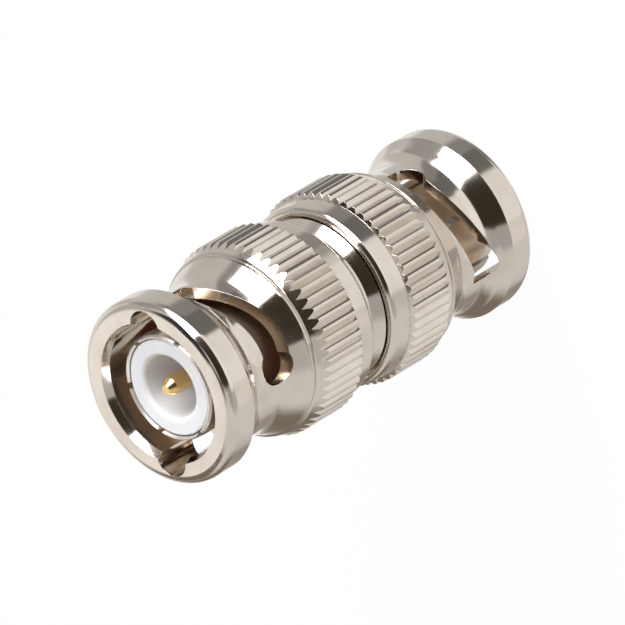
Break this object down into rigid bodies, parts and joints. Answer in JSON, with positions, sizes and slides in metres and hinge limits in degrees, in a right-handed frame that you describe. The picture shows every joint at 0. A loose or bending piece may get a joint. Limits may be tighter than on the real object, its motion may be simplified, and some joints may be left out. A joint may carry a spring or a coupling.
{
  "type": "bnc adapter",
  "caption": "Straight plug to plug coaxial adapter: a short barrel with a knurled bayonet coupling nut at each end, gold centre pins and white insulators.",
  "frame": {"origin": "centre of the lower nut's mating face, on the surface the adapter stands on", "axes": "+Z along the adapter's axis, from the lower plug to the upper plug"},
  "size_m": [0.0144, 0.0144, 0.0318],
  "materials": {
    "plated_nut": "bright nickel plate",
    "plated_body": "bright nickel plate",
    "plated_contact": "satin nickel plate",
    "plated_washer": "satin nickel plate",
    "bronze_spring": "rolled bronze",
    "gold_contact": "polished gold plate",
    "white_insulator": "smooth",
    "red_silicone": "moulded"
  },
  "bodies": {
    "barrel": {"body_lower": "plated_body", "body_upper": "plated_body", "centre_collar": "plated_body", "pin_lower": "gold_contact", "pin_upper": "gold_contact", "outer_contact_lower": "plated_contact", "outer_contact_upper": "plated_contact", "insulator_lower": "white_insulator", "insulator_upper": "white_insulator", "gasket_lower": "red_silicone", "gasket_upper": "red_silicone", "seat_washer_lower": "plated_washer", "seat_washer_upper": "plated_washer", "wave_washer_inner_lower": "bronze_spring", "wave_washer_inner_upper": "bronze_spring", "wave_washer_outer_lower": "bronze_spring", "wave_washer_outer_upper": "bronze_spring"},
    "lower_carriage": {"thrust_washer_lower": "plated_washer"},
    "lower_nut": {"coupling_nut_lower": "plated_nut"},
    "upper_carriage": {"thrust_washer_upper": "plated_washer"},
    "upper_nut": {"coupling_nut_upper": "plated_nut"}
  },
  "joints": [
    {"name": "lower_nut_draw", "type": "slide", "parent": "barrel", "child": "lower_carriage", "axis": [0, 0, -1], "range_m": [0, 0.0012], "stiffness_N_per_m": 300, "springref_m": -0.0005, "deforming": ["wave_washer_inner_lower", "wave_washer_outer_lower"]},
    {"name": "lower_nut_turn", "type": "hinge", "parent": "lower_carriage", "child": "lower_nut", "pos_m": [0, 0, 0.0075], "axis": [0, 0, 1], "continuous": true},
    {"name": "upper_nut_draw", "type": "slide", "parent": "barrel", "child": "upper_carriage", "axis": [0, 0, 1], "range_m": [0, 0.0012], "stiffness_N_per_m": 300, "springref_m": -0.0005, "deforming": ["wave_washer_inner_upper", "wave_washer_outer_upper"]},
    {"name": "upper_nut_turn", "type": "hinge", "parent": "upper_carriage", "child": "upper_nut", "pos_m": [0, 0, 0.0243], "axis": [0, 0, 1], "continuous": true}
  ]
}
